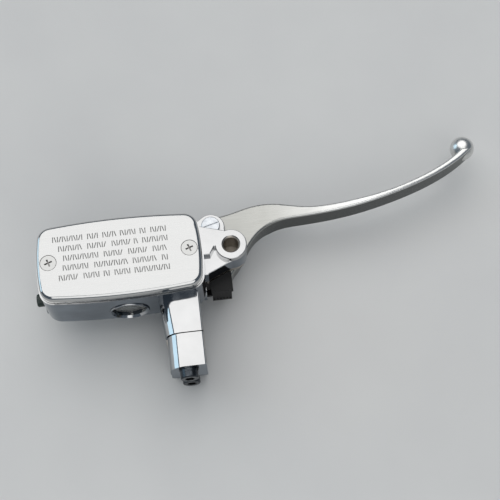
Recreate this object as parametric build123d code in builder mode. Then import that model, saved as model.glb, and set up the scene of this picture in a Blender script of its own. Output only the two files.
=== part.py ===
"""Front brake master cylinder for a motorcycle handlebar, with its lever and brake light switch.

Frame: the origin is on the handlebar's axis, level with the clamp bolts. +X runs along the bar
towards the lever's tip, +Y points away from the rider and +Z points up through the reservoir lid.
All sizes are millimetres.
"""
import os
from math import cos, pi, sin

from build123d import *

os.makedirs("parts", exist_ok=True)

# %% Driving dimensions

# Clearances
fit_gap = 0.10          # between fixed pieces that are fastened together
running_gap = 0.05      # radial, between a shaft and its bore
seat_gap = 0.30         # between faces of pieces that move past each other

# Handlebar clamp: body half and holder half, closed by two bolts
bar_radius = 12.7
clamp_width = 20.4
clamp_half_height = 24.0
holder_depth = 19.6
lower_lug_depth = 12.6  # the holder's lower lug is shallower than its upper one
split_gap = 0.6
clamp_bolt_height = 18.0
clamp_bolt_radius = 3.0
clamp_thread_depth = 13.0
clamp_flange_radius = 5.7
clamp_flange_thickness = 0.8
clamp_head_radius = 5.2
clamp_head_height = 6.0
clamp_socket_flats = 5.0
clamp_socket_depth = 3.2
clamp_edge_round = 1.2
clamp_wide_round = 9.5  # along the clamp's upper edge on the reservoir's side
neck_left = 11.6        # the neck's reach to the reservoir's side at the split
neck_flare = 3.6        # and how much farther it reaches at the bore
holder_left = 10.6

# Reservoir tub: bowed rectangle, seen from above
tub_right = 14.5
tub_center_y = 45.8
tub_length = 94.0
tub_width = 48.2
side_bow = 2.0          # how far the short sides bulge beyond the corners
front_bow = 2.5         # how far the long sides bulge beyond the corners
tub_corner_radius = 8.0
tub_overhang = 0.8      # the casting's rim stands this far outside the lid
tub_top = 30.0
tub_bottom = -3.0
tub_bottom_round = 4.0
pocket_length = 70.0
pocket_width = 37.0
pocket_corner_radius = 8.0
pocket_floor = 6.5

# Lid
lid_thickness = 6.5
lid_edge_round = 2.8
lid_seam = 0.4
recess_depth = 3.0
recess_margin = 2.0     # the lid's recess is this much larger than the pocket on each side
lid_screw_spacing = 80.0
lid_screw_radius = 2.0
lid_screw_head_radius = 4.5
lid_screw_length = 16.0
mark_depth = 0.3        # plain engraved ticks on the lid
mark_height = 3.4
mark_width = 0.5
mark_spacing = 1.38
mark_rise = 1.8         # the middle row stands this far beyond the lid's middle
mark_pitch = 5.9

# Diaphragm and its plate
diaphragm_thickness = 1.4
plate_thickness = 1.3
bellows_depth = 13.0
bellows_inset = 5.0

# Master bore, along X
bore_y = 39.0
bore_z = -4.0
bore_radius = 7.0
barrel_radius = 11.0
bore_wall = 22.5        # from the port's face to the bore's end
mouth_x = 14.6
mouth_radius = 9.0
mouth_depth = 8.6
port_boss_length = 6.5

# Hydraulic port at the bore's far end
port_stand = 1.0        # the port's face beyond the tub's end
port_boss_radius = 8.4
port_thread_radius = 4.5
port_thread_length = 12.0
port_relief_radius = 5.2
port_relief_depth = 2.5
feed_radius = 1.2
feed_rise = 2.8

# Piston train, at rest
land_radius = bore_radius - running_gap
cup_front = -24.0
cup_length = 3.9
head_land = 3.5
spool_radius = 4.5
rear_cup_x = -4.5
rear_cup_length = 4.0
rear_cup_core = 4.0
ring_x = 3.5
ring_thickness = 1.0
ring_groove_radius = 7.9
stem_radius = 4.0
stem_end = 21.9
pilot_radius = 3.0
spring_wire_radius = 0.55
spring_coil_radius = 5.2
spring_turns = 8

# Lever and its pivot
pivot_x = 21.3
pivot_y = 70.5
lever_top = 1.0
lever_root_thickness = 10.0
blade_height = 15.0
eye_radius = 8.0
pivot_shank_radius = 4.0
bush_outer_radius = 5.5
nose_radius = 4.0
nose_x = 26.0
ball_radius = 7.5
ball_x = 185.2
ball_y = 110.3
lever_edge_round = 1.6

# Clevis ears, mirror boss and its pad
ear_radius = 8.3
upper_ear_thickness = 3.7
lower_ear_thickness = 5.2
arm_height = 14.7
pad_top = 20.0
mirror_x = 31.7
mirror_y = 52.0
mirror_boss_radius = 9.3
mirror_thread_radius = 4.4
mirror_mouth_radius = 5.5
mirror_depth = 14.5
web_face = 11.5
clevis_edge_round = 0.6

# Pivot bolt and nut
pivot_head_radius = 5.6
pivot_head_height = 3.2
pivot_thread_radius = 3.0
nut_flats = 10.0
nut_height = 5.0

# Sight glass in the rider's side of the tub
glass_offset = 1.8      # from the tub's middle
glass_z = 11.4
glass_bezel_radius = 11.5
glass_window_radius = 9.2
glass_face_y = 21.0
bezel_stand = 0.8
bezel_depth = 2.4
lens_thickness = 1.7
glass_seal_thickness = 0.9

# Brake light switch under the knocker
switch_left = 17.9
switch_right = 29.4
switch_front = 29.2
switch_base_front = 36.5
switch_rear = 44.0
switch_top = -9.8
switch_bottom = -22.8
switch_web_bottom = -11.5   # plate that joins the tower to the base
tower_depth = 4.6
hood_thickness = 2.0
hood_left = 17.4
hood_right = 30.3
plunger_radius = 1.3
plunger_x = 27.3
plunger_z = -5.2
switch_tab_left = 4.6
switch_pad_bottom = -19.6
switch_screw_radius = 1.45
switch_screw_x = 9.6

# Shipping plug in the hydraulic port
plug_stand = 5.6
plug_knob_radius = 3.9

# Values that follow
tub_center_x = tub_right - tub_length / 2
port_face = tub_center_x - tub_length / 2 - port_stand
barrel_end = port_face + port_boss_length
bore_end = port_face + bore_wall
glass_x = tub_center_x + glass_offset
lever_bottom = lever_top - lever_root_thickness
blade_bottom = lever_top - blade_height
upper_ear_bottom = lever_top + seat_gap
upper_ear_top = upper_ear_bottom + upper_ear_thickness
lower_ear_top = lever_bottom - seat_gap
lower_ear_bottom = lower_ear_top - lower_ear_thickness
arm_top = upper_ear_bottom + arm_height
hood_bottom = lever_top + seat_gap
hood_top = hood_bottom + hood_thickness
lid_top = tub_top + lid_thickness
spring_seat = cup_front
screw_xs = [tub_center_x - lid_screw_spacing / 2, tub_center_x + lid_screw_spacing / 2]
clamp_bolt_zs = [-clamp_bolt_height, clamp_bolt_height]
glass_floor_y = glass_face_y - bezel_stand + bezel_depth + lens_thickness + glass_seal_thickness


# %% Outlines used by more than one piece

def bowed_outline(grow):
    """The reservoir seen from above: four shallow arcs with rounded corners, grown by a margin."""
    half_x = tub_length / 2 + grow
    half_y = tub_width / 2 + grow
    corner_x = half_x - side_bow
    corner_y = half_y - front_bow
    with BuildSketch(Plane.XY) as outline:
        with BuildLine():
            ThreePointArc((-corner_x, -corner_y), (0, -half_y), (corner_x, -corner_y))
            ThreePointArc((corner_x, -corner_y), (half_x, 0), (corner_x, corner_y))
            ThreePointArc((corner_x, corner_y), (0, half_y), (-corner_x, corner_y))
            ThreePointArc((-corner_x, corner_y), (-half_x, 0), (-corner_x, -corner_y))
        make_face()
        fillet(outline.vertices(), tub_corner_radius + grow)
    return outline.sketch.moved(Location((tub_center_x, tub_center_y, 0)))


def pocket_outline(grow):
    """The reservoir's pocket seen from above, grown by a margin."""
    with BuildSketch(Plane.XY) as outline:
        RectangleRounded(
            pocket_length + 2 * grow, pocket_width + 2 * grow, pocket_corner_radius + grow
        )
    return outline.sketch.moved(Location((tub_center_x, tub_center_y, 0)))


def plan(points):
    """A closed shape in plan with straight sides."""
    with BuildSketch(Plane.XY) as outline:
        with BuildLine():
            Polyline(*points, close=True)
        make_face()
    return outline.sketch


def disc(x, y, radius):
    """A round outline in plan."""
    with BuildSketch(Plane.XY) as outline:
        with Locations((x, y)):
            Circle(radius)
    return outline.sketch


def turned(profile, axis_y, axis_z):
    """A solid turned about a line along X, from its (x, radius) profile."""
    with BuildPart() as piece:
        with BuildSketch(Plane.XZ):
            with BuildLine():
                Polyline(*profile, close=True)
            make_face()
        revolve(axis=Axis.X)
    return piece.part.moved(Location((0, axis_y, axis_z)))


def turned_upright(profile, axis_x, axis_y):
    """A solid turned about a vertical line, from its (radius, z) profile."""
    with BuildPart() as piece:
        with BuildSketch(Plane.XZ):
            with BuildLine():
                Polyline(*profile, close=True)
            make_face()
        revolve(axis=Axis.Z)
    return piece.part.moved(Location((axis_x, axis_y, 0)))


def rounded_plate(outline, bottom, height):
    """A flat part of the casting with its upper edges rounded."""
    with BuildPart() as plate:
        with BuildSketch(Plane.XY.offset(bottom)):
            add(outline)
        extrude(amount=height)
        fillet(plate.faces().sort_by(Axis.Z)[-1].edges(), clevis_edge_round)
    return plate.part


def upper_left(edge):
    """Smallest for the edge at the upper corner on the reservoir's side."""
    return edge.center().X - edge.center().Z


def lower_left(edge):
    """Smallest for the edge at the lower corner on the reservoir's side."""
    return edge.center().X + edge.center().Z


# %% Body: one casting with the reservoir tub, the bore, the clevis and half of the clamp

# Neck and clamp half, seen from the side
neck_profile = [
    (split_gap / 2, clamp_half_height),
    (tub_center_y - tub_width / 2 + 5, clamp_half_height),
    (bore_y, bore_z),
    (bore_y - 5, bore_z - barrel_radius + 1),
    (bore_y - 23, -clamp_half_height),
    (split_gap / 2, -clamp_half_height),
]
with BuildPart() as neck:
    with BuildSketch(Plane.YZ.offset(-neck_left - neck_flare)):
        with BuildLine():
            Polyline(*neck_profile, close=True)
        make_face()
    extrude(amount=neck_left + neck_flare + clamp_width / 2)
    # The side towards the reservoir flares from the split to the bore
    with BuildSketch(Plane.XY.offset(-clamp_half_height - 1)):
        add(plan([
            (-neck_left, 0), (-neck_left - neck_flare, bore_y),
            (-neck_left - neck_flare - 1, bore_y + 1), (-neck_left - neck_flare - 1, 0),
        ]))
    extrude(amount=2 * clamp_half_height + 2, mode=Mode.SUBTRACT)
    fillet(neck.edges().filter_by(Axis.Y), clamp_edge_round)
    fillet(neck.edges().sort_by(lower_left)[0], clamp_edge_round)
    fillet(neck.edges().sort_by(upper_left)[0], clamp_wide_round)

# Plan outlines of the clevis: arm and mirror pad above, one ear above and one below the lever
tub_inside_x = 8.0
arm_outline = plan([
    (tub_inside_x, bore_y - 3.1), (16.8, bore_y - 3.1), (17.5, 36.7), (29.2, 41.9), (34, 43.5),
    (mirror_x, mirror_y), (29.0, 60.9), (13.5, 65.7), (tub_inside_x, 66.5),
]) + disc(mirror_x, mirror_y, mirror_boss_radius)
pad_outline = plan([
    (tub_inside_x, 47.2), (18.9, 47.1), (21.8, 51.8), (mirror_x, mirror_y),
    (29.0, 60.9), (13.5, 65.7), (tub_inside_x, 66.5),
]) + disc(mirror_x, mirror_y, mirror_boss_radius)
upper_ear_outline = plan([
    (tub_inside_x - 4, 58), (29, 58), (pivot_x + ear_radius, pivot_y - 2), (pivot_x, pivot_y),
    (pivot_x - 4.2, pivot_y + 7.2), (web_face, 74), (tub_inside_x - 4, 72),
]) + disc(pivot_x, pivot_y, ear_radius)
lower_ear_outline = plan([
    (tub_inside_x - 4, 51), (web_face, 51), (pivot_x + ear_radius - 0.6, pivot_y - 3),
    (pivot_x, pivot_y), (pivot_x - 4.2, pivot_y + 7.2), (web_face, 74), (tub_inside_x - 4, 74),
]) + disc(pivot_x, pivot_y, ear_radius)

with BuildPart() as body:
    # Reservoir tub with a rounded lower edge
    with BuildSketch(Plane.XY.offset(tub_bottom)):
        add(bowed_outline(tub_overhang))
    extrude(amount=tub_top - tub_bottom)
    fillet(body.edges().group_by(Axis.Z)[0], tub_bottom_round)
    # Web that carries the lower ear
    with BuildSketch(Plane.XY.offset(lower_ear_bottom)):
        add(plan([(-8, bore_y), (web_face, bore_y), (web_face, 74), (-8, 66)]))
    extrude(amount=tub_bottom + tub_bottom_round - lower_ear_bottom)
    # Barrel around the master bore, with the port boss at its far end
    add(turned([
        (port_face, 0), (port_face, port_boss_radius), (barrel_end - 2, port_boss_radius),
        (barrel_end, barrel_radius), (mouth_x, barrel_radius), (mouth_x, 0),
    ], bore_y, bore_z))
    # Flat pad for the switch
    with BuildSketch(Plane.XY.offset(switch_pad_bottom)):
        with Locations(((switch_tab_left + mouth_x) / 2, bore_y)):
            Rectangle(mouth_x - switch_tab_left, 11)
    extrude(amount=bore_z - bore_radius - switch_pad_bottom)
    add(neck.part)
    # Clevis
    for outline, bottom, height in (
        (arm_outline, upper_ear_bottom, arm_height),
        (pad_outline, upper_ear_bottom, pad_top - upper_ear_bottom),
        (upper_ear_outline, upper_ear_bottom, upper_ear_thickness),
        (lower_ear_outline, lower_ear_bottom, lower_ear_thickness),
    ):
        add(rounded_plate(outline, bottom, height))
    # Reservoir pocket and the holes for the lid's screws
    with BuildSketch(Plane.XY.offset(pocket_floor)):
        add(pocket_outline(0))
    extrude(amount=tub_top - pocket_floor + 1, mode=Mode.SUBTRACT)
    with BuildSketch(Plane.XY.offset(tub_top)):
        with Locations(*[(x, tub_center_y) for x in screw_xs]):
            Circle(lid_screw_radius + fit_gap)
    extrude(amount=-lid_screw_length, mode=Mode.SUBTRACT)
    # Port relief and thread, then the bore with its ring groove and mouth
    thread_end = port_face + port_relief_depth + port_thread_length
    add(turned([
        (port_face - 1, 0), (port_face - 1, port_relief_radius),
        (port_face + port_relief_depth, port_relief_radius),
        (port_face + port_relief_depth, port_thread_radius), (thread_end, port_thread_radius),
        (thread_end, 0),
    ], bore_y, bore_z), mode=Mode.SUBTRACT)
    add(turned([
        (bore_end, 0), (bore_end, bore_radius),
        (ring_x - fit_gap, bore_radius), (ring_x - fit_gap, ring_groove_radius),
        (ring_x + ring_thickness + fit_gap, ring_groove_radius),
        (ring_x + ring_thickness + fit_gap, bore_radius), (mouth_x - mouth_depth, bore_radius),
        (mouth_x - mouth_depth, mouth_radius), (mouth_x + 1, mouth_radius), (mouth_x + 1, 0),
    ], bore_y, bore_z), mode=Mode.SUBTRACT)
    # Feed passage between the bore and the port, high up so that air leaves by it
    with BuildSketch(Plane.YZ.offset(thread_end - 1)):
        with Locations((bore_y, bore_z + feed_rise)):
            Circle(feed_radius)
    extrude(amount=bore_end - thread_end + 2, mode=Mode.SUBTRACT)
    # Compensating port ahead of the primary cup, and supply port behind the piston's head
    supply_x = cup_front + cup_length + head_land + 1.9
    for hole_x, hole_radius in ((cup_front - 0.9, 0.4), (supply_x, 1.5)):
        with BuildSketch(Plane.XY.offset(bore_z + bore_radius / 2)):
            add(disc(hole_x, bore_y, hole_radius))
        extrude(amount=pocket_floor + 1 - bore_z - bore_radius / 2, mode=Mode.SUBTRACT)
    # Handlebar bore and clamp threads
    with BuildSketch(Plane.YZ.offset(-neck_left - neck_flare)):
        Circle(bar_radius)
    extrude(amount=neck_left + neck_flare + clamp_width / 2 + 1, mode=Mode.SUBTRACT)
    with BuildSketch(Plane.XZ):
        with Locations(*[(0, z) for z in clamp_bolt_zs]):
            Circle(clamp_bolt_radius + fit_gap)
    extrude(amount=-clamp_thread_depth, mode=Mode.SUBTRACT)
    # Pivot hole through both ears, with a seat for the bolt's head
    with BuildSketch(Plane.XY.offset(lower_ear_bottom - 1)):
        add(disc(pivot_x, pivot_y, pivot_shank_radius + running_gap))
    extrude(amount=upper_ear_top - lower_ear_bottom + 2, mode=Mode.SUBTRACT)
    with BuildSketch(Plane.XY.offset(upper_ear_top)):
        add(disc(pivot_x, pivot_y, pivot_head_radius + 0.4))
    extrude(amount=arm_height, mode=Mode.SUBTRACT)
    # Mirror thread with a chamfered mouth
    add(turned_upright([
        (0, pad_top - mirror_depth), (mirror_thread_radius, pad_top - mirror_depth),
        (mirror_thread_radius, pad_top - mirror_mouth_radius + mirror_thread_radius),
        (mirror_mouth_radius, pad_top), (mirror_mouth_radius, pad_top + 1), (0, pad_top + 1),
    ], mirror_x, mirror_y), mode=Mode.SUBTRACT)
    # Sight glass seat and window
    with BuildSketch(Plane.XZ.offset(-glass_face_y + 3)):
        with Locations((glass_x, glass_z)):
            Circle(glass_bezel_radius + fit_gap)
    extrude(amount=-(glass_floor_y - glass_face_y + 3), mode=Mode.SUBTRACT)
    with BuildSketch(Plane.XZ.offset(-glass_face_y)):
        with Locations((glass_x, glass_z)):
            Circle(glass_window_radius)
    extrude(amount=-(tub_center_y - pocket_width / 2 - glass_face_y), mode=Mode.SUBTRACT)
    # Thread for the switch's screw
    with BuildSketch(Plane.XY.offset(switch_pad_bottom)):
        add(disc(switch_screw_x, bore_y, switch_screw_radius + running_gap))
    extrude(amount=4.6, mode=Mode.SUBTRACT)
body.part.label = "body"

# %% Reservoir lid, with engraved ticks in place of lettering

# Each row: its start along the lid, then the lengths of its groups of ticks
mark_gap = 2.2
mark_rows = [
    (-37.4, [17.7, 6.5, 7.8, 9.1, 3.9, 9.1]),
    (-34.3, [14.3, 11.7, 10.4, 2.6, 15.6]),
    (-31.8, [20.8, 11.7, 11.7, 7.8]),
    (-32.3, [15.6, 19.5, 14.3, 3.9]),
    (-34.8, [11.7, 9.1, 3.9, 9.1, 20.8]),
]
mark_slants = (0, 18, 0, -18)
mark_places = []
for row, (place, lengths) in enumerate(mark_rows):
    row_y = tub_center_y + mark_rise + mark_pitch * (2 - row)
    for length in lengths:
        for tick in range(round(length / mark_spacing)):
            x = tub_center_x + place + mark_spacing * (tick + 0.5)
            mark_places.append((x, row_y, mark_slants[tick % 4]))
        place += length + mark_gap
with BuildPart() as lid:
    with BuildSketch(Plane.XY.offset(tub_top + lid_seam)):
        add(bowed_outline(0))
    extrude(amount=lid_thickness - lid_seam)
    fillet(lid.faces().sort_by(Axis.Z)[-1].edges(), lid_edge_round)
    with BuildSketch(Plane.XY.offset(tub_top)):
        add(pocket_outline(recess_margin))
    extrude(amount=recess_depth, mode=Mode.SUBTRACT)
    # Countersunk holes with a shallow ring around each head
    for x in screw_xs:
        add(turned_upright([
            (0, tub_top), (lid_screw_radius + 0.2, tub_top), (lid_screw_radius + 0.2, lid_top - 3.0),
            (lid_screw_head_radius + 0.3, lid_top - 0.6), (lid_screw_head_radius + 0.3, lid_top + 1),
            (0, lid_top + 1),
        ], x, tub_center_y), mode=Mode.SUBTRACT)
    # Rows of ticks
    with BuildSketch(Plane.XY.offset(lid_top - mark_depth)):
        for x, y, slant in mark_places:
            with Locations((x, y)):
                Rectangle(mark_width, mark_height, rotation=slant)
    extrude(amount=mark_depth + 1, mode=Mode.SUBTRACT)
lid.part.label = "lid"

# %% Lid screws: countersunk, cross recess
head_face = lid_top - 0.15
with BuildPart() as lid_screws:
    for x in screw_xs:
        add(turned_upright([
            (0, tub_top - lid_screw_length + 2), (lid_screw_radius, tub_top - lid_screw_length + 2),
            (lid_screw_radius, lid_top - 2.9), (lid_screw_head_radius, lid_top - 0.75),
            (lid_screw_head_radius, head_face), (0, head_face),
        ], x, tub_center_y))
    for turn in (20, 110):
        with BuildSketch(Plane.XY.offset(head_face - 1.5)):
            with Locations(*[(x, tub_center_y) for x in screw_xs]):
                Rectangle(4.6, 0.95, rotation=turn)
        extrude(amount=2, mode=Mode.SUBTRACT)
lid_screws.part.label = "lid_screws"

# %% Diaphragm: rubber, with a flat flange and a stepped bellows that follows the fluid
flange_top = tub_top + diaphragm_thickness
with BuildPart() as diaphragm:
    with BuildSketch(Plane.XY.offset(tub_top)):
        add(pocket_outline(recess_margin - seat_gap))
    extrude(amount=diaphragm_thickness)
    with BuildSketch(Plane.XY.offset(tub_top - bellows_depth / 2)):
        add(pocket_outline(-0.5))
    extrude(amount=bellows_depth / 2)
    with BuildSketch(Plane.XY.offset(tub_top - bellows_depth)):
        add(pocket_outline(-bellows_inset))
    extrude(amount=bellows_depth / 2)
    with BuildSketch(Plane.XY.offset(tub_top - bellows_depth / 2 + diaphragm_thickness)):
        add(pocket_outline(-0.5 - diaphragm_thickness))
    extrude(amount=bellows_depth, mode=Mode.SUBTRACT)
    with BuildSketch(Plane.XY.offset(tub_top - bellows_depth + diaphragm_thickness)):
        add(pocket_outline(-bellows_inset - diaphragm_thickness))
    extrude(amount=bellows_depth, mode=Mode.SUBTRACT)
diaphragm.part.label = "diaphragm"

# %% Diaphragm plate: keeps the flange flat under the lid
with BuildPart() as diaphragm_plate:
    with BuildSketch(Plane.XY.offset(flange_top)):
        add(pocket_outline(recess_margin - seat_gap))
        add(pocket_outline(-7.0), mode=Mode.SUBTRACT)
    extrude(amount=plate_thickness)
diaphragm_plate.part.label = "diaphragm_plate"

# %% Port shield: stamped cap over the two small ports in the tub's floor
shield_length = 22.0
shield_width = 12.0
shield_height = 3.2
shield_wall = 0.8
shield_x = (cup_front + supply_x) / 2
with BuildPart() as port_shield:
    with BuildSketch(Plane.XY.offset(pocket_floor)):
        with Locations((shield_x, bore_y)):
            RectangleRounded(shield_length, shield_width, 3)
    extrude(amount=shield_height)
    with BuildSketch(Plane.XY.offset(pocket_floor)):
        with Locations((shield_x, bore_y)):
            RectangleRounded(shield_length - 2 * shield_wall, shield_width - 2 * shield_wall, 2.2)
    extrude(amount=shield_height - shield_wall, mode=Mode.SUBTRACT)
    with BuildSketch(Plane.XZ.offset(-bore_y)):
        with Locations((shield_x, pocket_floor)):
            Rectangle(6, 2.4)
    extrude(amount=shield_width, both=True, mode=Mode.SUBTRACT)
port_shield.part.label = "port_shield"

# %% Sight glass: seal, lens and pressed bezel ring, stacked in the tub's wall
bezel_front = glass_face_y - bezel_stand
lens_front = bezel_front + bezel_depth
seal_front = lens_front + lens_thickness
with BuildPart() as sight_glass_ring:
    with BuildSketch(Plane.XZ.offset(-bezel_front)):
        with Locations((glass_x, glass_z)):
            Circle(glass_bezel_radius)
            Circle(glass_window_radius + 0.4, mode=Mode.SUBTRACT)
    extrude(amount=-bezel_depth)
    chamfer(sight_glass_ring.faces().sort_by(Axis.Y)[0].edges().sort_by(SortBy.RADIUS)[0], 1.2)
    fillet(sight_glass_ring.faces().sort_by(Axis.Y)[0].edges().sort_by(SortBy.RADIUS)[-1], 0.5)
sight_glass_ring.part.label = "sight_glass_ring"

with BuildPart() as sight_glass:
    with BuildSketch(Plane.XZ.offset(-lens_front)):
        with Locations((glass_x, glass_z)):
            Circle(glass_bezel_radius - 0.1)
    extrude(amount=-lens_thickness)
sight_glass.part.label = "sight_glass"

with BuildPart() as sight_glass_seal:
    with BuildSketch(Plane.XZ.offset(-seal_front)):
        with Locations((glass_x, glass_z)):
            Circle(glass_bezel_radius - 0.1)
            Circle(glass_window_radius + 0.1, mode=Mode.SUBTRACT)
    extrude(amount=-glass_seal_thickness)
sight_glass_seal.part.label = "sight_glass_seal"

# %% Piston: pilot, head land, spool, rear land and a stem that the lever pushes
head_x = cup_front + cup_length + running_gap
boot_groove_x = 17.4
boot_groove_length = 1.8
boot_groove_radius = 3.2
piston_solid = turned([
    (cup_front - 2, 0), (cup_front - 2, pilot_radius), (head_x, pilot_radius),
    (head_x, land_radius), (head_x + head_land, land_radius), (head_x + head_land, spool_radius),
    (rear_cup_x - 1.5, spool_radius), (rear_cup_x - 1.5, land_radius), (rear_cup_x, land_radius),
    (rear_cup_x, rear_cup_core), (rear_cup_x + rear_cup_length, rear_cup_core),
    (rear_cup_x + rear_cup_length, land_radius), (ring_x - fit_gap, land_radius),
    (ring_x - fit_gap, stem_radius), (boot_groove_x, stem_radius),
    (boot_groove_x, boot_groove_radius), (boot_groove_x + boot_groove_length, boot_groove_radius),
    (boot_groove_x + boot_groove_length, stem_radius), (stem_end - 0.8, stem_radius),
    (stem_end, stem_radius - 0.8), (stem_end, 0),
], bore_y, bore_z)
with BuildPart() as piston:
    add(piston_solid)
piston.part.label = "piston"

# %% Primary and secondary cups: rubber, with a lip against the bore
with BuildPart() as primary_cup:
    add(turned([
        (cup_front + cup_length, pilot_radius + running_gap), (cup_front + cup_length, land_radius),
        (cup_front, land_radius), (cup_front + 0.2, land_radius - 0.9),
        (cup_front + 2.2, land_radius - 1.4), (cup_front + 2.2, pilot_radius + 1.5),
        (cup_front + 0.6, pilot_radius + 1.0), (cup_front + 0.6, pilot_radius + running_gap),
    ], bore_y, bore_z))
primary_cup.part.label = "primary_cup"

with BuildPart() as secondary_cup:
    add(turned([
        (rear_cup_x + rear_cup_length - fit_gap, rear_cup_core + running_gap),
        (rear_cup_x + rear_cup_length - fit_gap, land_radius - 0.1),
        (rear_cup_x + 0.4, land_radius), (rear_cup_x + 0.6, land_radius - 0.9),
        (rear_cup_x + 2.2, land_radius - 1.2), (rear_cup_x + 2.2, rear_cup_core + 0.6),
        (rear_cup_x + fit_gap, rear_cup_core + 0.5),
        (rear_cup_x + fit_gap, rear_cup_core + running_gap),
    ], bore_y, bore_z))
secondary_cup.part.label = "secondary_cup"

# %% Return spring between the bore's end and the primary cup
spring_start = bore_end + spring_wire_radius + fit_gap
spring_length = spring_seat - spring_wire_radius - fit_gap - spring_start
with BuildPart() as upright_spring:
    with BuildLine() as coil:
        Helix(pitch=spring_length / spring_turns, height=spring_length, radius=spring_coil_radius)
    with BuildSketch(Plane(origin=coil.line @ 0, z_dir=coil.line % 0)):
        Circle(spring_wire_radius)
    sweep(path=coil.line, is_frenet=True)
with BuildPart() as return_spring:
    add(upright_spring.part.moved(Location((spring_start, bore_y, bore_z), (0, 90, 0))))
return_spring.part.label = "return_spring"

# %% Retaining ring: an open ring in the bore's groove
with BuildPart() as retaining_ring:
    with BuildSketch(Plane.YZ.offset(ring_x)):
        with Locations((bore_y, bore_z)):
            Circle(ring_groove_radius - fit_gap)
            Circle(stem_radius + 1.6, mode=Mode.SUBTRACT)
        with Locations((bore_y, bore_z - ring_groove_radius)):
            Rectangle(5, 6, mode=Mode.SUBTRACT)
    extrude(amount=ring_thickness)
retaining_ring.part.label = "retaining_ring"

# %% Dust boot: rubber bellows between the bore's mouth and the piston's stem
boot_start = mouth_x - mouth_depth + fit_gap
boot_wall = 0.9
boot_collar_radius = 4.9
boot_outer = [
    (boot_start, mouth_radius - fit_gap), (boot_start + 2.4, mouth_radius - fit_gap),
    (boot_start + 3.4, 6.4), (boot_start + 4.8, 7.8), (boot_start + 6.2, 5.8),
    (boot_start + 7.4, 6.4), (mouth_x - 0.1, boot_collar_radius),
    (boot_groove_x + boot_groove_length - fit_gap, boot_collar_radius),
]
boot_inner = [
    (boot_groove_x + boot_groove_length - fit_gap, boot_groove_radius + running_gap),
    (boot_groove_x + fit_gap, boot_groove_radius + running_gap),
    (boot_groove_x + fit_gap, stem_radius + 0.2), (mouth_x - 0.3, stem_radius + 0.2),
    (boot_start + 7.4, 6.4 - boot_wall), (boot_start + 6.2, 5.8 - boot_wall),
    (boot_start + 4.8, 7.8 - boot_wall), (boot_start + 3.4, 6.4 - boot_wall),
    (boot_start + 1.4, 7.4), (boot_start, 7.4),
]
with BuildPart() as dust_boot:
    add(turned(boot_outer + boot_inner, bore_y, bore_z))
dust_boot.part.label = "dust_boot"

# %% Lever: eye, knocker with a round nose, and a thin tall blade that ends in a ball
ball_z = lever_top - blade_height / 2
blade_far_end = (ball_x - 1.7, ball_y - 2.6)
blade_near_end = (ball_x + 4.6, ball_y - 3.1)
with BuildPart() as lever:
    with BuildSketch(Plane.XY.offset(blade_bottom)):
        with BuildLine():
            ThreePointArc(
                (29.64, 37.35), (nose_x, bore_y - nose_radius), (nose_x - nose_radius, bore_y)
            )
            Line((nose_x - nose_radius, bore_y), (pivot_x + 0.2, 53))
            Spline((pivot_x + 0.2, 53), (pivot_x - eye_radius, pivot_y), tangents=[(0, 1), (0, 1)])
            ThreePointArc(
                (pivot_x - eye_radius, pivot_y),
                (pivot_x - eye_radius * cos(pi / 4), pivot_y + eye_radius * sin(pi / 4)),
                (pivot_x, pivot_y + eye_radius),
            )
            Spline(
                (pivot_x, pivot_y + eye_radius), (46.7, 83.2), (60.5, 83.7), (77.1, 80.3),
                (108.1, 80.6), (140.3, 86.9), (174.5, 101.3), blade_far_end,
                tangents=[(1, 0), (0.8, 0.6)],
            )
            Line(blade_far_end, blade_near_end)
            Spline(
                blade_near_end, (173.6, 96.3), (139.8, 83.1), (107.5, 75.8),
                (76.2, 73.0), (62.0, 71.4), (50.7, 65.7), (42.6, 56.5), (34.7, 44.4),
                (29.64, 37.35), tangents=[(-0.75, -0.65), (-0.41, -0.91)],
            )
        make_face()
    extrude(amount=blade_height)
    # The root between the ears is thinner than the blade
    with BuildSketch(Plane.XZ):
        with BuildLine():
            Polyline(
                (0, blade_bottom - 1), (60, blade_bottom - 1), (44, lever_bottom),
                (0, lever_bottom), close=True,
            )
        make_face()
    extrude(amount=-150, mode=Mode.SUBTRACT)
    fillet(lever.faces().sort_by(Axis.Z)[-1].edges(), lever_edge_round)
    with Locations((ball_x, ball_y, ball_z)):
        Sphere(ball_radius)
    with BuildSketch(Plane.XY.offset(blade_bottom - 1)):
        add(disc(pivot_x, pivot_y, bush_outer_radius))
    extrude(amount=blade_height + 2, mode=Mode.SUBTRACT)
lever.part.label = "lever"

# %% Lever bush: bronze, pressed into the lever's eye
with BuildPart() as lever_bush:
    with BuildSketch(Plane.XY.offset(lever_bottom)):
        add(disc(pivot_x, pivot_y, bush_outer_radius - 0.02))
        add(disc(pivot_x, pivot_y, pivot_shank_radius + running_gap), mode=Mode.SUBTRACT)
    extrude(amount=lever_root_thickness)
lever_bush.part.label = "lever_bush"

# %% Pivot bolt with a slotted round head, and its nut below the lower ear
bolt_end = lower_ear_bottom - nut_height - 1.8
with BuildPart() as pivot_bolt:
    add(turned_upright([
        (0, bolt_end), (pivot_thread_radius, bolt_end), (pivot_thread_radius, lower_ear_bottom + 0.6),
        (pivot_shank_radius, lower_ear_bottom + 0.6), (pivot_shank_radius, upper_ear_top),
        (pivot_head_radius, upper_ear_top), (pivot_head_radius, upper_ear_top + pivot_head_height),
        (0, upper_ear_top + pivot_head_height),
    ], pivot_x, pivot_y))
    fillet(pivot_bolt.faces().sort_by(Axis.Z)[-1].edges(), 0.7)
    with BuildSketch(Plane.XY.offset(upper_ear_top + pivot_head_height - 0.8)):
        with Locations((pivot_x, pivot_y)):
            Rectangle(2 * pivot_head_radius + 1, 0.9, rotation=15)
    extrude(amount=2, mode=Mode.SUBTRACT)
pivot_bolt.part.label = "pivot_bolt"

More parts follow.
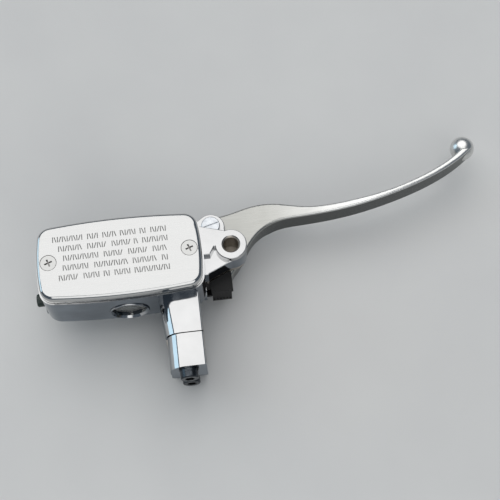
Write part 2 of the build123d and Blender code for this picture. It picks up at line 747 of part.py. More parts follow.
with BuildPart() as pivot_nut:
    with BuildSketch(Plane.XY.offset(lower_ear_bottom)):
        with Locations((pivot_x, pivot_y)):
            RegularPolygon(nut_flats / 2, 6, major_radius=False)
            Circle(pivot_thread_radius + fit_gap, mode=Mode.SUBTRACT)
    extrude(amount=-nut_height)
pivot_nut.part.label = "pivot_nut"

# %% Clamp holder: the loose half of the handlebar clamp
waist_depth = holder_depth - 2.0
holder_profile = [
    (-split_gap / 2, clamp_half_height), (-holder_depth, clamp_half_height), (-holder_depth, 9.5),
    (-waist_depth, 7.5), (-waist_depth, -5.0), (-lower_lug_depth, -11.5),
    (-lower_lug_depth, -clamp_half_height), (-split_gap / 2, -clamp_half_height),
]
with BuildPart() as clamp_holder:
    with BuildSketch(Plane.YZ.offset(-holder_left)):
        with BuildLine():
            Polyline(*holder_profile, close=True)
        make_face()
    extrude(amount=holder_left + clamp_width / 2)
    fillet(clamp_holder.edges().filter_by(Axis.Y).sort_by(upper_left)[1:], clamp_edge_round)
    fillet(clamp_holder.edges().filter_by(Axis.Y).sort_by(upper_left)[0], clamp_wide_round)
    with BuildSketch(Plane.YZ.offset(-holder_left - 1)):
        Circle(bar_radius)
    extrude(amount=holder_left + clamp_width / 2 + 2, mode=Mode.SUBTRACT)
    with BuildSketch(Plane.XZ):
        with Locations(*[(0, z) for z in clamp_bolt_zs]):
            Circle(clamp_bolt_radius + 0.3)
    extrude(amount=holder_depth + 1, mode=Mode.SUBTRACT)
clamp_holder.part.label = "clamp_holder"

# %% Clamp bolts: socket head caps with a small flange
with BuildPart() as clamp_bolts:
    for height, seat in ((clamp_bolt_height, holder_depth), (-clamp_bolt_height, lower_lug_depth)):
        with BuildSketch(Plane.XZ.offset(seat)):
            with Locations((0, height)):
                Circle(clamp_flange_radius)
        extrude(amount=clamp_flange_thickness)
        with BuildSketch(Plane.XZ.offset(seat)):
            with Locations((0, height)):
                Circle(clamp_head_radius)
        extrude(amount=clamp_head_height)
        chamfer(faces(Select.LAST).sort_by(Axis.Y)[0].edges(), 0.5)
        with BuildSketch(Plane.XZ.offset(seat + clamp_head_height - clamp_socket_depth)):
            with Locations((0, height)):
                RegularPolygon(clamp_socket_flats / 2, 6, major_radius=False)
        extrude(amount=clamp_socket_depth + 1, mode=Mode.SUBTRACT)
        with BuildSketch(Plane.XZ.offset(seat)):
            with Locations((0, height)):
                Circle(clamp_bolt_radius)
        extrude(amount=-(seat + clamp_thread_depth - 1))
clamp_bolts.part.label = "clamp_bolts"

# %% Brake light switch: base, tower and a hood over the knocker, with a tab under the barrel
switch_middle = (switch_left + switch_right) / 2
switch_width = switch_right - switch_left
hood_clearance = 0.45     # from the arm's face, along Y
groove_count = 6
groove_spacing = 1.9
with BuildPart() as switch_body:
    with BuildSketch(Plane.XY.offset(switch_bottom)):
        with Locations((switch_middle, (switch_base_front + switch_rear) / 2)):
            RectangleRounded(switch_width, switch_rear - switch_base_front, 1)
    extrude(amount=switch_top - switch_bottom)
    with BuildSketch(Plane.XY.offset(switch_web_bottom)):
        with Locations((switch_middle, (switch_front + switch_base_front) / 2 + 1)):
            Rectangle(switch_width, switch_base_front - switch_front + 2)
    extrude(amount=switch_top - switch_web_bottom)
    with BuildSketch(Plane.XY.offset(switch_web_bottom)):
        with Locations((switch_middle, switch_front + tower_depth / 2)):
            Rectangle(switch_width, tower_depth)
    extrude(amount=hood_top - switch_web_bottom)
    with BuildSketch(Plane.XY.offset(hood_bottom)):
        add(plan([
            (hood_left, switch_front), (hood_right, switch_front),
            (hood_right, 42.0 - hood_clearance), (29.2, 41.9 - hood_clearance),
            (17.5, 36.7 - hood_clearance), (hood_left, 36.4 - hood_clearance),
        ]))
    extrude(amount=hood_thickness)
    with BuildSketch(Plane.XY.offset(switch_bottom)):
        with Locations(((switch_tab_left + switch_left + 1) / 2, bore_y + 0.6)):
            Rectangle(switch_left + 1 - switch_tab_left, 7.0)
    extrude(amount=switch_pad_bottom - fit_gap - switch_bottom)
    with BuildSketch(Plane.XY.offset(switch_bottom - 1)):
        add(disc(switch_screw_x, bore_y, switch_screw_radius + 0.25))
    extrude(amount=6, mode=Mode.SUBTRACT)
    # Guide hole for the plunger
    with BuildSketch(Plane.XZ.offset(-switch_front - tower_depth)):
        with Locations((plunger_x, plunger_z)):
            Circle(plunger_radius + running_gap)
    extrude(amount=tower_depth - 1, mode=Mode.SUBTRACT)
    # Grooves down the rider's side
    with BuildSketch(Plane.XY.offset(switch_top)):
        with Locations((switch_middle, switch_front)):
            with GridLocations(groove_spacing, 0, groove_count, 1):
                Rectangle(0.9, 1.2)
    extrude(amount=hood_top - switch_top + 1, mode=Mode.SUBTRACT)
switch_body.part.label = "switch_body"

# %% Switch plunger: follows the knocker's nose
plunger_seat = 1.4        # the hole's end behind the plunger, from the housing's front
plunger_stand = bore_y - nose_radius - 0.1 - switch_front - tower_depth
with BuildPart() as switch_plunger:
    with BuildSketch(Plane.XZ.offset(-switch_front - plunger_seat)):
        with Locations((plunger_x, plunger_z)):
            Circle(plunger_radius)
    extrude(amount=-(tower_depth - plunger_seat + plunger_stand))
    fillet(switch_plunger.faces().sort_by(Axis.Y)[-1].edges(), 0.5)
switch_plunger.part.label = "switch_plunger"

# %% Switch terminals: two brass blades below the base
terminal_length = 4.5
with BuildPart() as switch_terminals:
    with BuildSketch(Plane.XY.offset(switch_bottom)):
        with Locations((switch_left + 3.2, bore_y + 1.2), (switch_right - 3.2, bore_y + 1.2)):
            Rectangle(4.0, 0.8)
    extrude(amount=-terminal_length)
switch_terminals.part.label = "switch_terminals"

# %% Switch screw: pan head, from below
with BuildPart() as switch_screw:
    add(turned_upright([
        (0, switch_bottom - 2.0), (2.6, switch_bottom - 2.0), (2.9, switch_bottom - 0.6),
        (2.9, switch_bottom), (switch_screw_radius, switch_bottom),
        (switch_screw_radius, switch_pad_bottom + 4.2), (0, switch_pad_bottom + 4.2),
    ], switch_screw_x, bore_y))
    for turn in (0, 90):
        with BuildSketch(Plane.XY.offset(switch_bottom - 2.5)):
            with Locations((switch_screw_x, bore_y)):
                Rectangle(3.0, 0.7, rotation=turn)
        extrude(amount=1.4, mode=Mode.SUBTRACT)
switch_screw.part.label = "switch_screw"

# %% Port plug: plastic shipping plug that sits in the port's relief
with BuildPart() as port_plug:
    add(turned([
        (port_face - plug_stand, 0), (port_face - plug_stand, plug_knob_radius - 0.5),
        (port_face - plug_stand + 0.5, plug_knob_radius), (port_face, plug_knob_radius),
        (port_face, port_relief_radius - fit_gap),
        (port_face + port_relief_depth - seat_gap, port_relief_radius - fit_gap),
        (port_face + port_relief_depth - seat_gap, 0),
    ], bore_y, bore_z))
    with BuildSketch(Plane.YZ.offset(port_face - plug_stand)):
        with Locations((bore_y, bore_z)):
            Circle(plug_knob_radius - 1.2)
    extrude(amount=plug_stand + 1, mode=Mode.SUBTRACT)
port_plug.part.label = "port_plug"

# %% Write one file for each piece
pieces = [
    body, lid, lid_screws, diaphragm, diaphragm_plate, port_shield,
    sight_glass_ring, sight_glass, sight_glass_seal,
    piston, primary_cup, secondary_cup, return_spring, retaining_ring, dust_boot,
    lever, lever_bush, pivot_bolt, pivot_nut,
    clamp_holder, clamp_bolts,
    switch_body, switch_plunger, switch_terminals, switch_screw, port_plug,
]
for piece in pieces:
    export_step(piece.part, f"parts/{piece.part.label}.step")
    print(piece.part.label, len(piece.part.solids()), round(piece.part.volume, 1))
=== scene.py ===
# %% [markdown]
# # A motorcycle's front brake master cylinder
# The metal parts were drawn in a CAD program and packed with their joints. This script loads them
# as a fixed frame, gives every piece the finish that the real one has, and sets up the studio.

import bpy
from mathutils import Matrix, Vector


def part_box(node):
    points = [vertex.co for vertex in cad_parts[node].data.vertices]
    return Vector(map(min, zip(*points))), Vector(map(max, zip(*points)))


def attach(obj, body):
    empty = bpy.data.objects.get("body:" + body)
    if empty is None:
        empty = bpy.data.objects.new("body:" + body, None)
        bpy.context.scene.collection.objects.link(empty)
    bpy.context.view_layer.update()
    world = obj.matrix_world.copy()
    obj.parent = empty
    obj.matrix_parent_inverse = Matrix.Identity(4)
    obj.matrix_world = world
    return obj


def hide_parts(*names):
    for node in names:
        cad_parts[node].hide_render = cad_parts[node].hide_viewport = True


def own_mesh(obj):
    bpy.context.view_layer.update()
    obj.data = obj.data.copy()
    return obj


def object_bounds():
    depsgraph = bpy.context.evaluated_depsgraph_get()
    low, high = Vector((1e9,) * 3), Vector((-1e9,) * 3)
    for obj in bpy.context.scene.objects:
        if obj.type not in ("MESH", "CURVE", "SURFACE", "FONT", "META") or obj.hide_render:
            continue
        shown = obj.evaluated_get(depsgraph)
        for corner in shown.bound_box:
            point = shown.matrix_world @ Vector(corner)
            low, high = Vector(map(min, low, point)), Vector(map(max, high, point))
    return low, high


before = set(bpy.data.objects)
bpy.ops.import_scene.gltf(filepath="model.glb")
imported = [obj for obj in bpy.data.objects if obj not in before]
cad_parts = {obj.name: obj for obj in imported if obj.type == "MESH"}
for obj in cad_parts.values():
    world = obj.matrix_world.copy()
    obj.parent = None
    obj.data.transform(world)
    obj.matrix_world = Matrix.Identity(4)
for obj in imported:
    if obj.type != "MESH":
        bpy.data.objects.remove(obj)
packed_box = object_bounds()
print("nodes:", len(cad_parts))

# %% [markdown]
# ## What the finishes need to know
# Besides bpy, which makes things, mathutils does the sums with directions. All lengths are metres,
# in the frame of the CAD: +X along the handlebar, +Z up through the lid. The part stands on the
# table at its lowest point.

# %% Modules and the heights that several steps share
from math import pi, radians

import bpy
from mathutils import Vector

scene = bpy.context.scene
lid_low, lid_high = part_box("lid")
lid_top = lid_high.z
table_height = packed_box[0][2]
print("lid from", round(lid_low.x, 4), "to", round(lid_high.x, 4), "top at", round(lid_top, 4))
print("the table's height is", round(table_height, 4))

# %% [markdown]
# ## The camera
# The part is shot from above on the rider's side with a moderately long lens. A long lens from
# farther away keeps the lid's edges nearly parallel, as in a catalogue picture, and a turn about
# the vertical puts the lever's tip in the upper corner of the frame.

# %% Camera
lens_length = 77.04
camera_place = (0.01467, -0.18536, 0.59867)
tilt_from_straight_down = 22.0
turn_about_vertical = -6.8

camera_data = bpy.data.cameras.new("studio_camera")
camera_data.sensor_width = 36.0
camera_data.lens = lens_length
camera = bpy.data.objects.new("studio_camera", camera_data)
camera.location = camera_place
camera.rotation_euler = (radians(tilt_from_straight_down), 0.0, radians(turn_about_vertical))
scene.collection.objects.link(camera)
scene.camera = camera
print("camera looks down at", 90 - tilt_from_straight_down, "degrees")

# %% [markdown]
# ## Colour and light
# Polished metal has hardly any colour of its own: what makes it read as chrome is the difference
# between a broad bright light and darker surroundings. A sun lamp whose disc is very wide works
# like a huge softbox that never fades with distance. A second one stands on the rider's side,
# so that the lever's near edge and the lid's rounding get a bright line. A third, cooler one is low
# on the reservoir's side and runs a pale blue streak down the clamp's rounded edge. The world adds
# a dim, slightly blue fill, which the sides of the casting mirror.

# %% World and softboxes
scene.view_settings.view_transform = "Standard"
world = bpy.data.worlds.new("dim_room")
world.use_nodes = True
scene.world = world
room = world.node_tree.nodes["Background"]
room.inputs["Color"].default_value = (0.115, 0.140, 0.170, 1.0)
room.inputs["Strength"].default_value = 1.0


def add_softbox(name, towards, width_degrees, energy, color):
    """A very wide sun lamp that shines from the direction towards."""
    lamp_data = bpy.data.lights.new(name, "SUN")
    lamp_data.angle = radians(width_degrees)
    lamp_data.energy = energy
    lamp_data.color = color
    lamp = bpy.data.objects.new(name, lamp_data)
    lamp.rotation_euler = Vector(towards).normalized().to_track_quat("Z", "Y").to_euler()
    scene.collection.objects.link(lamp)


add_softbox("wide_softbox", (-0.12, 0.36, 0.92), 80.0, 1.9, (1.0, 0.985, 0.965))
add_softbox("rider_side_softbox", (0.10, -0.74, 0.67), 52.0, 0.80, (1.0, 0.99, 0.97))
add_softbox("cool_side_softbox", (-0.90, 0.34, 0.26), 34.0, 0.42, (0.62, 0.85, 1.0))
print("lamps:", [lamp.name for lamp in bpy.data.lights])

# %% [markdown]
# ## The table
# A plain pale sheet, much larger than the part, so that no edge shows from any side.

# %% Table top
table_reach = 8.0
table_mesh = bpy.data.meshes.new("table_top")
table_mesh.from_pydata(
    [(side_x * table_reach, side_y * table_reach, table_height)
     for side_x, side_y in ((-1, -1), (1, -1), (1, 1), (-1, 1))],
    [], [(0, 1, 2, 3)],
)
table = bpy.data.objects.new("table_top", table_mesh)
scene.collection.objects.link(table)
print("the table reaches", table_reach, "m each way")

# %% [markdown]
# ## Helpers for node materials
# Every finish here is a node graph worked out from the position on the part, so it needs no
# picture files. Object coordinates are the CAD's own metres, and they stay with a piece when it
# moves. The first helpers make a finish and the soft random grain that all of them use.

# %% Helpers that start a finish and its grain
def start_finish(name, color, metallic, roughness):
    """A new material with one main shader. Returns the material, its node tree and the shader."""
    material = bpy.data.materials.new(name)
    material.use_nodes = True
    tree = material.node_tree
    shader = tree.nodes["Principled BSDF"]
    shader.inputs["Base Color"].default_value = (*color, 1.0)
    shader.inputs["Metallic"].default_value = metallic
    shader.inputs["Roughness"].default_value = roughness
    return material, tree, shader


def cloudy(tree, per_metre, detail=3.0):
    """A soft random value from 0 to 1, with so many spots per metre, or so many along each axis."""
    if isinstance(per_metre, float):
        per_metre = (per_metre,) * 3
    coords = tree.nodes.new("ShaderNodeTexCoord")
    stretch = tree.nodes.new("ShaderNodeMapping")
    stretch.inputs["Scale"].default_value = per_metre
    noise = tree.nodes.new("ShaderNodeTexNoise")
    noise.inputs["Scale"].default_value = 1.0
    noise.inputs["Detail"].default_value = detail
    tree.links.new(coords.outputs["Object"], stretch.inputs["Vector"])
    tree.links.new(stretch.outputs["Vector"], noise.inputs["Vector"])
    return noise.outputs["Fac"]


def spread(tree, value, low, high, start=0.3, end=0.7):
    """Maps a value that runs from start to end onto low to high."""
    ramp = tree.nodes.new("ShaderNodeMapRange")
    ramp.inputs["From Min"].default_value = start
    ramp.inputs["From Max"].default_value = end
    ramp.inputs["To Min"].default_value = low
    ramp.inputs["To Max"].default_value = high
    tree.links.new(value, ramp.inputs["Value"])
    return ramp.outputs["Result"]


def relief(tree, shader, height, depth, strength=1.0):
    """Tilts the surface as if it stood up to depth metres proud where height is 1."""
    bump = tree.nodes.new("ShaderNodeBump")
    bump.inputs["Strength"].default_value = strength
    bump.inputs["Distance"].default_value = depth
    tree.links.new(height, bump.inputs["Height"])
    tree.links.new(bump.outputs["Normal"], shader.inputs["Normal"])


# %% [markdown]
# ### Mixing tones
# A Mix node has one set of sockets for each kind of data under the same names, so the sockets for
# colours are taken by their place in the list.

# %% Helpers that mix tones
mix_factor, mix_first, mix_second, mix_result = 0, 6, 7, 2


def blend_tones(tree, value, dark, light):
    """A colour from dark to light as a value runs from 0 to 1. Each is a colour or a socket."""
    mix = tree.nodes.new("ShaderNodeMix")
    mix.data_type = "RGBA"
    tree.links.new(value, mix.inputs[mix_factor])
    for slot, tone in ((mix_first, dark), (mix_second, light)):
        if isinstance(tone, tuple):
            mix.inputs[slot].default_value = (*tone, 1.0)
        else:
            tree.links.new(tone, mix.inputs[slot])
    return mix.outputs[mix_result]


def mottled(tree, grain, dark, light, start=0.3, end=0.7):
    """A colour that varies between two tones with the grain."""
    return blend_tones(tree, spread(tree, grain, 0.0, 1.0, start, end), dark, light)


# %% [markdown]
# ### Finding a place on the part
# The edges of a finish, such as where a bored hole begins, are worked out from the position. These
# helpers do sums on sockets and give 1 inside a round or a ball and 0 outside it.

# %% Helpers that find a place
def sums(tree, operation, first, second=None):
    """One arithmetic step on two values, each a number or a socket."""
    node = tree.nodes.new("ShaderNodeMath")
    node.operation = operation
    for slot, value in enumerate((first, second)):
        if value is None:
            continue
        if isinstance(value, (int, float)):
            node.inputs[slot].default_value = value
        else:
            tree.links.new(value, node.inputs[slot])
    return node.outputs["Value"]


def position(tree):
    """The x, y and z of the position on the part."""
    split = tree.nodes.new("ShaderNodeSeparateXYZ")
    coords = tree.nodes.new("ShaderNodeTexCoord")
    tree.links.new(coords.outputs["Object"], split.inputs["Vector"])
    return split.outputs["X"], split.outputs["Y"], split.outputs["Z"]


def facing(tree):
    """The x, y and z of the direction that the surface faces."""
    split = tree.nodes.new("ShaderNodeSeparateXYZ")
    surface = tree.nodes.new("ShaderNodeNewGeometry")
    tree.links.new(surface.outputs["Normal"], split.inputs["Vector"])
    return split.outputs["X"], split.outputs["Y"], split.outputs["Z"]


def distance_squared(tree, places, middle):
    """The square of the distance from a middle, along as many axes as are given."""
    square = 0.0
    for place, center in zip(places, middle):
        away = sums(tree, "SUBTRACT", place, center)
        square = sums(tree, "ADD", square, sums(tree, "MULTIPLY", away, away))
    return square


def within(tree, places, middle, radius):
    """1 within a radius of a middle: a round along two axes, or a ball along three."""
    return sums(tree, "LESS_THAN", distance_squared(tree, places, middle), radius * radius)


# %% [markdown]
# ### Finishes with one grain
# Most small pieces need the same recipe. One fine grain makes the gloss uneven, mottles the colour
# and roughens the surface, and only its size and strength differ.

# %% Helpers that finish a piece
def add_grain(tree, shader, grain, gloss=None, tones=None, depth=None, strength=0.4):
    """Lets a grain drive the gloss from low to high, the two tones, and the relief's depth."""
    if gloss:
        tree.links.new(spread(tree, grain, *gloss), shader.inputs["Roughness"])
    if tones:
        tree.links.new(mottled(tree, grain, *tones), shader.inputs["Base Color"])
    if depth:
        relief(tree, shader, grain, depth, strength)


def finish_pieces(names, material):
    """Gives CAD pieces their finish."""
    for name in names:
        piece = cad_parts[name]
        piece.data.materials.clear()
        piece.data.materials.append(material)
        print(name, "is finished in", material.name)


# %% [markdown]
# ## Pale table
# A matt sheet with the faintest mottling, so that it looks like a surface and not like a void.

# %% Table finish
table_paint, tree, shader = start_finish("pale_table", (0.60, 0.60, 0.59), 0.0, 0.7)
mottle = cloudy(tree, 12.0, detail=4.0)
add_grain(tree, shader, mottle, tones=((0.585, 0.585, 0.58), (0.62, 0.62, 0.61)))
relief(tree, shader, cloudy(tree, 900.0), 0.00004)
table.data.materials.append(table_paint)
print("the table is painted", table_paint.name)

# %% [markdown]
# ## Chrome plating on the casting
# The casting is polished by hand and plated. Plating copies what is under it, so the broad faces
# are nearly mirrors with a gentle ripple, and the polish is hazier in places. Real plating has one
# tone all over, and its walls look darker only where they mirror something dark. This studio is
# pale all round, so here a painted dark reflection on the faces that aren't turned up stands for
# dark surroundings. The price is that the walls stay dark under any other light. The raised mirror
# pad is left bright all over.

# %% Tones of the plating
pad_from_x = 0.0158
pad_from_z = 0.0162

plating, tree, shader = start_finish("plated_casting", (0.50, 0.51, 0.52), 1.0, 0.08)
face_x, face_y, face_z = facing(tree)
at_x, at_y, at_z = position(tree)
haze = cloudy(tree, 60.0, detail=4.0)
bright_tone = mottled(tree, haze, (0.55, 0.55, 0.55), (0.49, 0.49, 0.49))
# painted reflection: a dark bluish tone for the faces that aren't turned up, in place of the dark
# surroundings they would mirror
painted_dark_reflection_tone = mottled(tree, haze, (0.21, 0.245, 0.285), (0.13, 0.155, 0.185))
turned_up = spread(tree, face_z, 0.0, 1.0, 0.10, 0.62)
on_pad = sums(
    tree, "MULTIPLY",
    sums(tree, "GREATER_THAN", at_x, pad_from_x), sums(tree, "GREATER_THAN", at_z, pad_from_z),
)
turned_up = sums(tree, "MAXIMUM", turned_up, on_pad)
# the plating's own tone on upturned faces and the pad, the painted dark reflection on the walls
plating_with_painted_reflection = blend_tones(tree, turned_up, painted_dark_reflection_tone, bright_tone)
print("the mirror pad begins at x", pad_from_x, "and z", pad_from_z)

# %% [markdown]
# ### Bare alloy in the holes
# The mirror's hole is tapped, and the bore and the clamp are cut, after plating. There the bare
# alloy shows, a warm grey. Each hole is found by the distance from its axis, with a hair of room,
# and flat faces across the bore's axis keep their plating.

# %% Places that are cut after plating
mirror_line = (0.0317, 0.052)
mirror_hole_reach = 0.0053
mirror_hole_top = 0.0198
bore_line = (0.039, -0.004)
bore_reach = 0.0082
mouth_reach = 0.0091
mouth_from_x = 0.0
flat_end_facing = 0.9
bar_line = (0.0, 0.0)
bar_reach = 0.01275

in_mirror_hole = sums(
    tree, "MULTIPLY", within(tree, (at_x, at_y), mirror_line, mirror_hole_reach),
    sums(tree, "LESS_THAN", at_z, mirror_hole_top),
)
in_mouth = sums(
    tree, "MULTIPLY", within(tree, (at_y, at_z), bore_line, mouth_reach),
    sums(tree, "GREATER_THAN", at_x, mouth_from_x),
)
in_bore = sums(tree, "MAXIMUM", in_mouth, within(tree, (at_y, at_z), bore_line, bore_reach))
flat_ends = sums(tree, "GREATER_THAN", sums(tree, "ABSOLUTE", face_x), flat_end_facing)
in_bore = sums(tree, "MULTIPLY", in_bore, sums(tree, "SUBTRACT", 1.0, flat_ends))
in_bar_bore = within(tree, (at_y, at_z), bar_line, bar_reach)
machined = sums(tree, "MAXIMUM", in_mirror_hole, sums(tree, "MAXIMUM", in_bore, in_bar_bore))
print("bare alloy within", bore_reach, "of the bore's axis and", bar_reach, "of the bar's")

# %% [markdown]
# ### Putting the casting's finish together
# The bare alloy is duller than the plating. The thread is a wave along the mirror hole's axis, one
# crest for each turn, and elsewhere a broad ripple keeps the mirror from looking like glass.

# %% Plated casting
bare_extra_roughness = 0.26
thread_pitch = 0.00125
ripple_share = 0.35

bare_tone = blend_tones(tree, haze, (0.42, 0.39, 0.35), (0.36, 0.33, 0.29))
tree.links.new(blend_tones(tree, machined, plating_with_painted_reflection, bare_tone), shader.inputs["Base Color"])
bare_gloss = sums(tree, "MULTIPLY", machined, bare_extra_roughness)
gloss = sums(tree, "ADD", spread(tree, haze, 0.05, 0.12), bare_gloss)
tree.links.new(gloss, shader.inputs["Roughness"])
threads = sums(tree, "SINE", sums(tree, "MULTIPLY", at_z, 2 * pi / thread_pitch))
threads = sums(tree, "MULTIPLY", threads, in_mirror_hole)
ripple = sums(tree, "MULTIPLY", cloudy(tree, 190.0, detail=2.0), ripple_share)
relief(tree, shader, sums(tree, "ADD", ripple, threads), 0.00020, 0.5)
finish_pieces(("body", "clamp_holder", "sight_glass_ring"), plating)

# %% [markdown]
# ## The lid
# The lid's flat top is brushed before plating, and its rounded edge is polished. One material
# does both: where the surface faces straight up it is satin with fine lines along X, and anywhere
# else it is bright. The engraved ticks lie a little under the top, so their floor is found from
# its height, and is darker and rougher.

# %% Lid finish
engraving_from = 0.00015
polished_roughness = 0.07
engraved_extra_roughness = 0.25

lid_metal, tree, shader = start_finish("brushed_lid", (0.54, 0.54, 0.535), 1.0, 0.2)
face_z = facing(tree)[2]
at_z = position(tree)[2]
flat = spread(tree, face_z, 0.0, 1.0, 0.955, 0.985)
sunk = sums(tree, "LESS_THAN", at_z, lid_top - engraving_from)
engraved = sums(tree, "MULTIPLY", sunk, flat)
grain = cloudy(tree, (60.0, 5200.0, 60.0), detail=2.0)
satin = sums(tree, "MULTIPLY", spread(tree, grain, 0.24, 0.34), flat)
polish = sums(tree, "MULTIPLY", sums(tree, "SUBTRACT", 1.0, flat), polished_roughness)
scratch = sums(tree, "MULTIPLY", engraved, engraved_extra_roughness)
gloss = sums(tree, "ADD", sums(tree, "ADD", satin, polish), scratch)
tree.links.new(gloss, shader.inputs["Roughness"])
tone = blend_tones(tree, engraved, (0.54, 0.54, 0.535), (0.17, 0.17, 0.165))
tree.links.new(tone, shader.inputs["Base Color"])
relief(tree, shader, sums(tree, "MULTIPLY", grain, flat), 0.000012, 0.6)
finish_pieces(("lid",), lid_metal)

# %% [markdown]
# ## Lid screws and port shield
# Stainless screw heads show fine rings from the lathe. The two screws stand the same distance
# either side of the middle, so one sum gives the distance from the nearer one's axis. The floor of
# the cross slot is darker, as little light reaches it.

# %% Stainless lid screws and the port shield
ring_pitch = 0.0003
slot_depth = 0.0004
slot_reach_of_head = 0.62

stainless, tree, shader = start_finish("turned_stainless", (0.48, 0.48, 0.47), 1.0, 0.25)
screw_low, screw_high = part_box("lid_screws")
screw_middle_x = (screw_low.x + screw_high.x) / 2
screw_middle_y = (screw_low.y + screw_high.y) / 2
screw_head = screw_high.y - screw_middle_y
screw_offset = (screw_high.x - screw_low.x) / 2 - screw_head
at_x, at_y, at_z = position(tree)
from_middle = sums(tree, "ABSOLUTE", sums(tree, "SUBTRACT", at_x, screw_middle_x))
square = distance_squared(tree, (from_middle, at_y), (screw_offset, screw_middle_y))
turns = sums(tree, "MULTIPLY", sums(tree, "SQRT", square), 2 * pi / ring_pitch)
relief(tree, shader, sums(tree, "SINE", turns), 0.000006, 0.6)
deep = sums(tree, "LESS_THAN", at_z, screw_high.z - slot_depth)
near = sums(tree, "LESS_THAN", square, (screw_head * slot_reach_of_head) ** 2)
slot_floor = sums(tree, "MULTIPLY", deep, near)
tone = blend_tones(tree, slot_floor, (0.48, 0.48, 0.47), (0.20, 0.195, 0.19))
tree.links.new(tone, shader.inputs["Base Color"])
finish_pieces(("lid_screws", "port_shield"), stainless)
print("screw heads are", round(2 * screw_head, 4), "across")

# %% [markdown]
# ## Bolts and spring wire
# Zinc plate is a soft blue-grey metal with a slight bloom, and the clamp's bolts get a near-black
# tone. Spring wire is drawn through a die, which leaves fine lines along it.

# %% Zinc plated bolts
zinc, tree, shader = start_finish("zinc_plate", (0.56, 0.58, 0.60), 1.0, 0.28)
add_grain(
    tree, shader, cloudy(tree, 420.0, detail=4.0), gloss=(0.20, 0.36),
    tones=((0.60, 0.62, 0.64), (0.48, 0.50, 0.53)), depth=0.00003,
)
finish_pieces(("pivot_bolt", "pivot_nut", "switch_screw"), zinc)

# %% Near-black clamp bolts
# the clamp bolts get a near-black tone with a fine grain
near_black_bolt_metal, tree, shader = start_finish("near_black_bolt_metal", (0.05, 0.055, 0.06), 1.0, 0.3)
add_grain(
    tree, shader, cloudy(tree, 700.0, detail=4.0), gloss=(0.20, 0.40),
    tones=((0.075, 0.085, 0.095), (0.030, 0.034, 0.040)), depth=0.00004,
)
finish_pieces(("clamp_bolts",), near_black_bolt_metal)

# %% Drawn spring wire
wire, tree, shader = start_finish("drawn_wire", (0.30, 0.30, 0.31), 1.0, 0.32)
draw_lines = cloudy(tree, (900.0, 300.0, 300.0), detail=2.0)
add_grain(tree, shader, draw_lines, gloss=(0.24, 0.42), depth=0.00002)
finish_pieces(("return_spring", "retaining_ring"), wire)

# %% [markdown]
# ## The lever
# The lever is forged aluminium, ground smooth and finished to a fine satin, with the lines of the
# abrasive belt running along it. Noise squeezed across the lever and stretched along it gives
# those lines. From above, the real blade looks brighter than the root, and the tall side walls
# look dark, at least partly from what they mirror. Here the upward faces grow lighter from the root
# to the blade, and the side walls get a painted dark reflection; both stay under any other light.
# The ball is bright all over, and is found by the distance from its middle.

# %% Satin lever
blade_from_x, blade_full_x = 0.055, 0.105
ball_middle = (0.1852, 0.1103, -0.0065)
ball_reach = 0.0076

satin_metal, tree, shader = start_finish("satin_lever", (0.46, 0.46, 0.45), 1.0, 0.3)
face_z = facing(tree)[2]
places = position(tree)
belt = cloudy(tree, (90.0, 2600.0, 2600.0), detail=3.0)
haze = cloudy(tree, 45.0, detail=3.0)
worn = sums(tree, "ADD", sums(tree, "MULTIPLY", belt, 0.5), sums(tree, "MULTIPLY", haze, 0.5))
tree.links.new(spread(tree, worn, 0.24, 0.36, 0.35, 0.65), shader.inputs["Roughness"])
root_tone = mottled(tree, worn, (0.395, 0.395, 0.375), (0.36, 0.36, 0.34), 0.35, 0.65)
blade_tone = mottled(tree, worn, (0.74, 0.74, 0.725), (0.66, 0.66, 0.645), 0.35, 0.65)
along_blade = spread(tree, places[0], 0.0, 1.0, blade_from_x, blade_full_x)
# the upward faces grow lighter from the root to the blade
root_to_blade_tone = blend_tones(tree, along_blade, root_tone, blade_tone)
turned_up = spread(tree, face_z, 0.0, 1.0, 0.05, 0.40)
turned_up = sums(tree, "MAXIMUM", turned_up, within(tree, places, ball_middle, ball_reach))
# painted reflection: the side walls get a near-black tone that stands for the dark surroundings
# they would mirror
painted_dark_side_tone = blend_tones(tree, haze, (0.075, 0.080, 0.077), (0.105, 0.110, 0.106))
lever_tone = blend_tones(tree, turned_up, painted_dark_side_tone, root_to_blade_tone)
tree.links.new(lever_tone, shader.inputs["Base Color"])
relief(tree, shader, belt, 0.00001, 0.5)
finish_pieces(("lever",), satin_metal)

# %% [markdown]
# ## Piston, bush and terminals
# Hard anodising turns aluminium a dull olive grey with fine pores. The lever's bush is pressed
# from bronze powder, so it is grainy all through, and the switch's brass terminals are bright with
# a little tarnish.

# %% Hard anodised piston
anodised, tree, shader = start_finish("hard_anodised", (0.34, 0.32, 0.26), 1.0, 0.35)
add_grain(tree, shader, cloudy(tree, 1500.0), gloss=(0.28, 0.42), depth=0.00001)
finish_pieces(("piston",), anodised)

# %% Bronze bush and brass terminals
bronze, tree, shader = start_finish("sintered_bronze", (0.42, 0.26, 0.11), 1.0, 0.4)
powder = cloudy(tree, 2200.0, detail=4.0)
add_grain(tree, shader, powder, gloss=(0.32, 0.5), depth=0.00002, strength=0.5)
finish_pieces(("lever_bush",), bronze)

brass, tree, shader = start_finish("bright_brass", (0.72, 0.54, 0.24), 1.0, 0.22)
add_grain(tree, shader, cloudy(tree, 500.0, detail=4.0), gloss=(0.18, 0.32))
finish_pieces(("switch_terminals",), brass)

# %% [markdown]
# ## Rubber and plastics
# These are dull pieces next to the metal. Rubber scatters light from a fine grain, the switch is
# moulded in black nylon with a spark-eroded texture, and the plug is a cheap translucent green.

# %% Rubber
rubber, tree, shader = start_finish("black_rubber", (0.022, 0.022, 0.022), 0.0, 0.7)
add_grain(
    tree, shader, cloudy(tree, 1400.0, detail=4.0), gloss=(0.6, 0.82),
    tones=((0.018, 0.018, 0.018), (0.032, 0.031, 0.030)), depth=0.00003, strength=0.5,
)
finish_pieces(
    ("diaphragm", "sight_glass_seal", "primary_cup", "secondary_cup", "dust_boot"),
    rubber,
)

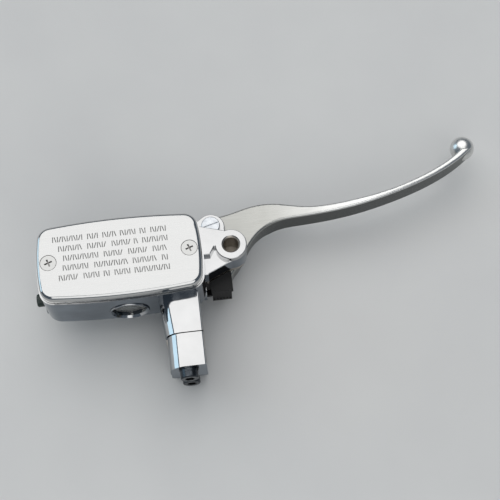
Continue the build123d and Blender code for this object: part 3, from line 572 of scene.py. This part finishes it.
# %% Moulded plastics
nylon, tree, shader = start_finish("black_nylon", (0.007, 0.007, 0.007), 0.0, 0.5)
shader.inputs["Specular IOR Level"].default_value = 0.22
add_grain(
    tree, shader, cloudy(tree, 3000.0), gloss=(0.36, 0.52),
    tones=((0.006, 0.006, 0.006), (0.010, 0.010, 0.010)), depth=0.00002, strength=0.5,
)
finish_pieces(("switch_body",), nylon)

white_nylon, tree, shader = start_finish("white_nylon", (0.70, 0.69, 0.64), 0.0, 0.45)
add_grain(
    tree, shader, cloudy(tree, 700.0),
    tones=((0.66, 0.65, 0.60), (0.73, 0.72, 0.68)), depth=0.00001,
)
finish_pieces(("switch_plunger", "diaphragm_plate"), white_nylon)

# %% Green shipping plug
green, tree, shader = start_finish("green_plug", (0.015, 0.036, 0.030), 0.0, 0.3)
shader.inputs["Transmission Weight"].default_value = 0.45
shader.inputs["IOR"].default_value = 1.46
add_grain(
    tree, shader, cloudy(tree, 500.0), gloss=(0.24, 0.4),
    tones=((0.010, 0.028, 0.023), (0.020, 0.045, 0.037)), depth=0.00002,
)
finish_pieces(("port_plug",), green)

# %% [markdown]
# ## The sight glass
# A thick polished lens, very faintly green. Glass is left almost clear, because what one sees in
# it is the dark reservoir behind and the studio in front. Wiping leaves it slightly uneven.

# %% Sight glass lens
lens, tree, shader = start_finish("sight_lens", (0.72, 0.76, 0.72), 0.0, 0.03)
shader.inputs["Transmission Weight"].default_value = 1.0
shader.inputs["IOR"].default_value = 1.5
add_grain(tree, shader, cloudy(tree, 300.0, detail=4.0), gloss=(0.015, 0.06))
finish_pieces(("sight_glass",), lens)

# %% [markdown]
# ## The spring and the boot
# When the lever is pulled, the piston runs into the casting. The return spring behind it and the
# rubber boot in front of it get shorter, the spring towards the bore's end and the boot towards its
# bead in the bore's mouth. A rigid copy would stick through the piston, and each piece here is such
# a copy: it is made anew from the shape of its CAD piece, and only the share of its length that it
# would keep is printed.

# %% Spring and boot copied in place of their CAD pieces
def soft_copy(name, material, keep):
    """A copy of a CAD piece in its place, with the given material, on the master body. Prints keep.
    """
    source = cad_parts[name]
    mesh = source.data.copy()
    mesh.transform(source.matrix_world)
    mesh.materials.clear()
    mesh.materials.append(material)
    piece = bpy.data.objects.new(name + "_soft", mesh)
    scene.collection.objects.link(piece)
    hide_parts(name)
    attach(piece, "master")
    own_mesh(piece)
    print(piece.name, "shortens to", round(keep, 3), "of its length")


piston_stroke = 0.0084
bore_end_x, spring_length = -0.058, 0.0338
boot_bead_x, boot_length = 0.006, 0.0132

soft_copy("return_spring", wire, 1 - piston_stroke / spring_length)
soft_copy("dust_boot", rubber, 1 - piston_stroke / boot_length)
